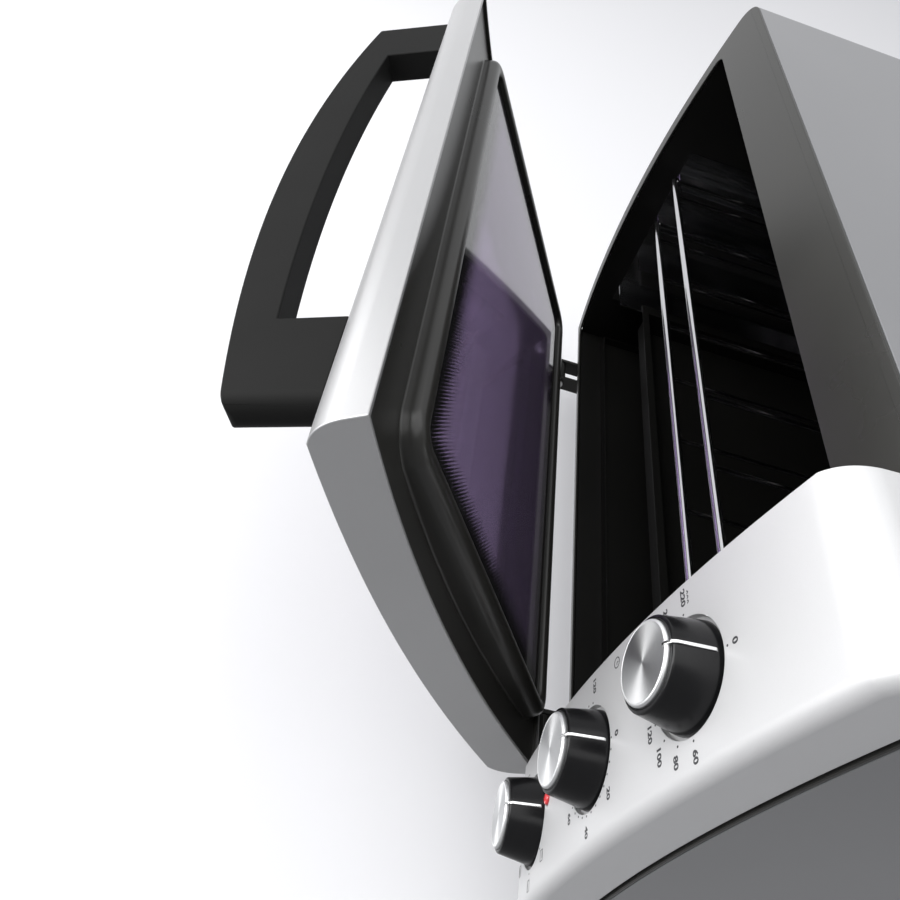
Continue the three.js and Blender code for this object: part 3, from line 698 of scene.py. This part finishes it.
def build_knob(name):
    place = on_panel(KNOB_X, control_z(name))
    body = f"{name}_knob"
    base, rim = (22.4, -2.6), (19.2, 16.0)
    edge = [(rim[0] - 1.4 + 1.4 * math.cos(t), rim[1] + 1.2 * math.sin(t)) for t in quarter(6)]
    profile = [(0, 13.2), (3.35, 13.2), (3.35, base[1]), (22.0, base[1]), (base[0], -2.2)]
    profile += [(lerp(base[0], rim[0], i / 6), lerp(-2.2, rim[1], i / 6)) for i in range(1, 7)]
    profile += edge + [(17.25, 17.2), (17.2, 16.4), (0, 16.4)]
    skirt = turned(f"{name}_skirt", profile, place, 128)
    soften(skirt)
    finish(skirt, body, "knob_black", replaces=[f"{name}_knob_skirt"])

    cap_profile = [(0, 16.6), (16.9, 16.6), (16.9, 18.2), (16.5, 18.9), (15.9, 19.2), (15.6, 19.0),
                   (8.0, 19.0), (0.6, 18.95), (0, 18.85)]
    cap = turned(f"{name}_cap", cap_profile, place, 128)
    bevel(cap, 0.12, 2, 25)
    soften(cap)
    finish(cap, body, "spun_aluminium", replaces=[f"{name}_knob_cap"])

    slope = (rim[0] - base[0]) / (rim[1] - base[1])
    line = []
    for height, proud in ((0.6, 0.25), (1.6, 0.75), (15.6, 0.8), (17.9, 0.1), (19.3, -2.3), (19.3, -4.2),
                          (18.6, -4.2), (17.4, -2.0), (15.4, -0.5), (0.6, -0.4)):
        line.append((-height, base[0] + slope * (height - base[1]) + proud))
    pointer = prism(f"{name}_pointer", line, "x", -0.75, 0.75, place)
    bevel(pointer, 0.3, 3, 30)
    soften(pointer)
    finish(pointer, body, "pointer_silver", replaces=[f"{name}_knob_pointer"])


TEXT_SIZE = 4.2
TEXT_WIDE = 1.28
INK_HALF, INK_PROUD = 0.03, 0.02
DOT = 0.52


def mark(obj, x, z):
    """Puts a flat printed mark on the panel face, a hair proud of it."""
    upright = Matrix.Rotation(math.pi / 2, 4, "X")
    obj.matrix_world = on_panel(x, z) @ Matrix.Translation((0, -INK_PROUD * MM, 0)) @ upright
    return obj


def text_mark(text):
    curve = bpy.data.curves.new("text", "FONT")
    curve.body = text
    curve.size = TEXT_SIZE * MM
    curve.align_x, curve.align_y = "CENTER", "CENTER"
    curve.offset = 0.15 * MM
    curve.extrude = INK_HALF * MM
    curve.resolution_u = 4
    source = bpy.data.objects.new("text", curve)
    bpy.context.scene.collection.objects.link(source)
    bpy.context.view_layer.update()
    mesh = bpy.data.meshes.new_from_object(source.evaluated_get(bpy.context.evaluated_depsgraph_get()))
    mesh.transform(Matrix.Diagonal((TEXT_WIDE, 1, 1, 1)))
    bpy.data.objects.remove(source)
    bpy.data.curves.remove(curve)
    return link("mark", mesh, BODY)


def dot_mark(radius):
    return prism("mark", circle(0, 0, radius, 16), "z", -INK_HALF, INK_HALF)


def line_mark(points, width):
    """A printed line as a thin flat strip through points in its own plane."""
    strips = []
    for (ax, ay), (bx, by) in zip(points, points[1:]):
        length = math.hypot(bx - ax, by - ay)
        nx, ny = -(by - ay) / length * width / 2, (bx - ax) / length * width / 2
        outline = [(ax + nx, ay + ny), (ax - nx, ay - ny), (bx - nx, by - ny), (bx + nx, by + ny)]
        strips.append(prism("strip", outline, "z", -INK_HALF, INK_HALF))
    return join("mark", strips)


def ring_mark(radius, width):
    angles = [math.radians(lerp(0.0, 360.0, i / 24)) for i in range(25)]
    return line_mark([(radius * math.sin(a), radius * math.cos(a)) for a in angles], width)


DOT_RADIUS, LABEL_RADIUS = 26.2, 28.7
THERMOSTAT_STEP, TIMER_STEP = 23.2, 11.75


def scale_point(name, degrees, radius):
    """A place on a dial's scale, by its angle clockwise from twelve o'clock."""
    turn = math.radians(degrees)
    return KNOB_X + radius * math.sin(turn), control_z(name) + radius * math.cos(turn)


def label(name, degrees, text):
    turn = math.radians(degrees)
    reach = math.hypot(1.75 * len(text) * math.sin(turn), 1.8 * math.cos(turn))
    return mark(text_mark(text), *scale_point(name, degrees, LABEL_RADIUS + reach))


def build_scales():
    marks = []
    for i in range(9):
        angle = 273 + THERMOSTAT_STEP * (i - 8)
        marks.append(label("thermostat", angle, str(60 + 20 * i)))
        marks.append(mark(dot_mark(DOT), *scale_point("thermostat", angle, DOT_RADIUS)))
    marks.append(label("thermostat", 0, "0"))
    marks.append(mark(dot_mark(DOT), *scale_point("thermostat", 0, DOT_RADIUS)))
    for i in (-1, 0, 1):
        flame = line_mark([(-0.8, -0.5), (0, 0.5), (0.8, -0.5)], 0.5)
        marks.append(mark(flame, KNOB_X - 32.7 + 2.2 * i, control_z("thermostat") + 5.3))

    for i in range(25):
        marks.append(mark(dot_mark(DOT), *scale_point("timer", TIMER_STEP * i, DOT_RADIUS - 0.8)))
    for i in range(7):
        marks.append(label("timer", 4 * TIMER_STEP * i, str(20 * i)))
    clock_x, clock_z = KNOB_X - 32.8, control_z("timer") + 32.4
    marks.append(mark(ring_mark(2.55, 0.5), clock_x, clock_z))
    marks.append(mark(line_mark([(0, 1.5), (0, 0), (1.2, 0)], 0.45), clock_x, clock_z))

    for i in range(6):
        marks.append(mark(dot_mark(DOT), *scale_point("selector", 48 * i, DOT_RADIUS)))
        if i == 0:
            continue
        x, z = scale_point("selector", 48 * i, LABEL_RADIUS + 3.2)
        box = [(-2.6, -2.0), (2.6, -2.0), (2.6, 2.0), (-2.6, 2.0), (-2.6, -2.0)]
        marks.append(mark(line_mark(box, 0.4), x, z))
        if i in (1, 3, 4):
            marks.append(mark(line_mark([(-1.6, 1.1), (1.6, 1.1)], 0.4), x, z))
        if i in (2, 3, 4):
            marks.append(mark(line_mark([(-1.6, -1.1), (1.6, -1.1)], 0.4), x, z))
        if i in (4, 5):
            marks.append(mark(ring_mark(0.8, 0.35), x, z))
    scales = join("dial_print", marks)
    finish(scales, "chassis", "panel_silver", "ink")


# ------------------------------------------------------------------------------------------- the body
def build_casing():
    """Top and sides in one wrap, with rolled top corners, the bowed front edge and side vents."""
    def section(x, top, radius):
        steps = 14
        top_corners = rounded_rect((-x, x), (-200, top), radius, steps)[:2 * (steps + 1)]
        return [(-x, CASING_BOTTOM), (x, CASING_BOTTOM)] + top_corners

    casing = prism("casing_wrap", section(HALF, TOP_Z, CASING_CORNER), "y", -10, BACK_Y)
    inside = section(HALF - SHEET, TOP_Z - SHEET, CASING_CORNER - SHEET)
    inside[:2] = [(x, CASING_BOTTOM - 9) for x, _ in inside[:2]]
    hollow = prism("hollow", inside, "y", -20, BACK_Y + 10)
    boolean(casing, [hollow])
    side = arc_points(FRAME_R - FRAME_SHEET - FIT, DOOR_Z[0], TOP_Z + 2, 40)
    side += [(BACK_Y + 1, TOP_Z + 2), (BACK_Y + 1, CASING_BOTTOM - 1)]
    side += [(PLINTH_Y, CASING_BOTTOM - 1), (PLINTH_Y, DOOR_Z[0])]
    boolean(casing, [prism("side", side, "x", -HALF - 1, HALF + 1)], "INTERSECT")
    slots = []
    for i in range(VENT_COUNT):
        start = VENT_START + VENT_PITCH * i
        for x in (-HALF, HALF):
            slots.append(prism("slot", rounded_rect((start, start + 4), VENT_Z, 1.9, 6), "x", x - 5, x + 5))
    boolean(casing, [join("slots", slots)])
    bevel(casing, 0.35, 2, 50)
    soften(casing)
    finish(casing, "chassis", "casing_silver", replaces=["outer_casing"])


def build_front_frame():
    """The black bowed plate round the mouth of the oven, with its sill turned back under the body."""
    strip = arc_points(FRAME_R - FRAME_SHEET, SILL_Z, TOP_Z, 64) + arc_points(FRAME_R, TOP_Z, SILL_Z, 64)
    plate = prism("front_frame_plate", strip, "x", -HALF, HALF)
    outline = rounded_rect((-HALF, HALF), (SILL_Z - 30, TOP_Z), CASING_CORNER, 12)
    boolean(plate, [prism("outline", outline, "y", -20, 40)], "INTERSECT")
    sill = block("sill", inset((-HALF, HALF), 1.8), (arc_y(FRAME_R, SILL_Z) + 0.2, PLINTH_Y - 1),
                 (SILL_Z, SILL_Z + FRAME_SHEET))
    boolean(plate, [sill], "UNION")
    mouth = prism("mouth", rounded_rect(MOUTH_X, MOUTH_Z, 8, 8), "y", -20, 30)
    boolean(plate, [mouth, *shaft_bores(70)])
    bevel(plate, 0.5, 3, 50)
    soften(plate)
    finish(plate, "chassis", "black_enamel", replaces=["front_frame"])


def rod(a, b, radius, segments=16):
    """A round wire with rounded ends between two points."""
    a, b = Vector(a), Vector(b)
    length = (b - a).length
    profile = [(radius * math.sin(t), radius * (1 - math.cos(t))) for t in [0.0] + quarter(4)]
    profile += [(r, length - h) for r, h in reversed(profile)]
    turn = Vector((0, -1, 0)).rotation_difference(b - a).to_matrix().to_4x4()
    return turned("rod", profile, BODY @ Matrix.Translation(a * MM) @ turn, segments)


RACK_FRAME, RACK_SIDE, RACK_BAR = 2.5, 2.4, 1.6
RACK_BARS, RACK_PITCH = range(-3, 4), 58


def build_rack(node):
    (x0, x1), (y0, y1), (_, top) = (span(node, axis) for axis in range(3))
    y0, y1, z = y0 + 2.6, y1 - 2.6, top - RACK_FRAME
    rods = [rod((x0, y, z), (x1, y, z), RACK_FRAME) for y in (y0, y1)]
    rods += [rod((x, y0, z), (x, y1, z), RACK_SIDE) for x in inset((x0, x1), RACK_FRAME)]
    for i in RACK_BARS:
        x = (x0 + x1) / 2 + RACK_PITCH * i
        rods.append(rod((x, y0 - 1, z - 2.6), (x, y1 + 1, z - 2.6), RACK_BAR, 12))
    rack = join(f"{node}_wires", rods)
    soften(rack)
    finish(rack, node.replace("_wire", ""), "chrome", replaces=[node])


def build_elements():
    for place in ("upper_element_front", "upper_element_rear", "lower_element_front", "lower_element_rear"):
        (x0, x1), (y0, y1), (z0, z1) = (span(place, axis) for axis in range(3))
        y, z = (y0 + y1) / 2, (z0 + z1) / 2
        tube = rod((x0, y, z), (x1, y, z), 3.15, 24)
        tube.name = f"{place}_tube"
        soften(tube)
        finish(tube, "chassis", "element_steel", replaces=[place])


def build_feet():
    for name in ("front_left", "front_right", "rear_left", "rear_right"):
        node = f"foot_{name}"
        (x0, x1), (y0, y1), (bottom, _) = (span(node, axis) for axis in range(3))
        place = (BODY @ Matrix.Translation(Vector(((x0 + x1) / 2, (y0 + y1) / 2, bottom)) * MM)
                 @ Matrix.Rotation(-math.pi / 2, 4, "X"))
        profile = [(0, 0.6), (6.5, 0.6), (7.0, 0), (11.0, 0), (12.2, 0.6), (12.9, 1.6), (14.4, 14.6),
                   (14.4, 15.4), (14.0, 15.7), (0, 15.7)]
        foot = turned(f"{node}_pad", profile, place, 48)
        soften(foot)
        finish(foot, "chassis", "rubber", replaces=[node])


def dress_cad_nodes():
    """CAD nodes whose shape is right stay, with a small bevel and their finish; the bare steel crumb tray gets the
    dark cavity enamel instead, as painted shade.
    """
    slots = {row["node"]: row["material_slot"] for row in frame["record"]["subparts"]}
    for name, obj in NODES.items():
        if obj.hide_render:
            continue
        slot = slots[name]
        # The crumb tray is bare steel; giving it the near-black cavity enamel is painted shade inside the oven.
        look = "cavity_enamel" if name == "crumb_tray" else slot
        obj.data.materials.clear()
        obj.data.materials.append(FINISHES[look])
        bevel(obj, 0.25, 2, 40)


# --------------------------------------------------------------------------------- stage and camera
def build_stage():
    bpy.ops.mesh.primitive_plane_add(size=1)
    floor = bpy.context.object
    floor.name = "floor"
    floor.scale = (14, 14, 1)
    floor.location = (0, 0, 0)
    floor.data.materials.append(FINISHES["floor"])
    floor.visible_glossy = False

    world = bpy.data.worlds.new("studio")
    bpy.context.scene.world = world
    world.use_nodes = True
    nodes, links = world.node_tree.nodes, world.node_tree.links
    background = nodes["Background"]
    background.inputs[0].default_value = (0.94, 0.95, 0.97, 1)
    split = nodes.new("ShaderNodeSeparateXYZ")
    links.new(nodes.new("ShaderNodeTexCoord").outputs["Generated"], split.inputs[0])
    across = nodes.new("ShaderNodeMapRange")
    across.interpolation_type = "SMOOTHSTEP"
    for socket, value in (("From Min", -0.35), ("From Max", 0.4), ("To Min", 0.8), ("To Max", 0.35)):
        across.inputs[socket].default_value = value
    links.new(split.outputs[0], across.inputs["Value"])
    links.new(across.outputs[0], background.inputs[1])

    def lamp(name, location, target, size, power):
        light = bpy.data.lights.new(name, "AREA")
        light.shape = "RECTANGLE"
        light.size, light.size_y = size
        light.energy = power
        obj = bpy.data.objects.new(name, light)
        bpy.context.scene.collection.objects.link(obj)
        obj.location = location
        obj.rotation_mode = "QUATERNION"
        obj.rotation_quaternion = (Vector(target) - Vector(location)).to_track_quat("-Z", "Y")

    lamp("key", (-0.15, -1.6, 1.5), (0.05, -0.15, 0.2), (1.3, 1.6), 36)
    lamp("side", (-0.75, -1.45, 0.4), (0, -0.2, 0.2), (0.8, 0.7), 4)
    lamp("front", (0.1, -1.8, 0.45), (0.15, 0, 0.2), (1.4, 1.1), 20)
    lamp("top", (-0.1, -0.2, 2.6), (0, -0.1, 0), (3.0, 2.4), 32)


def build_camera():
    camera = bpy.data.cameras.new("camera")
    camera.sensor_width = 36
    camera.lens = 32.68
    camera.clip_start, camera.clip_end = 0.01, 50
    obj = bpy.data.objects.new("camera", camera)
    bpy.context.scene.collection.objects.link(obj)
    right = Vector((-0.12233, 0.95511, 0.26981))
    up = Vector((-0.72199, -0.27217, 0.63612))
    back = right.cross(up).normalized()
    turn = Matrix((right.normalized(), back.cross(right).normalized(), back)).transposed().to_4x4()
    eye = Vector((0, HINGE.y, HINGE.z)) + Vector((386.73, -174.40, 502.11)) * MM
    obj.matrix_world = Matrix.Translation(eye) @ turn
    bpy.context.scene.camera = obj


build_camera()
build_stage()
build_door_shell()
build_door_pan()
build_door_glass()
build_handle()
build_panel()
for control in CONTROLS:
    build_knob(control)
build_scales()
build_casing()
build_front_frame()
for rack in ("upper_wire_rack", "lower_wire_rack"):
    build_rack(rack)
build_elements()
build_feet()
dress_cad_nodes()
bpy.context.scene.view_settings.view_transform = "Standard"
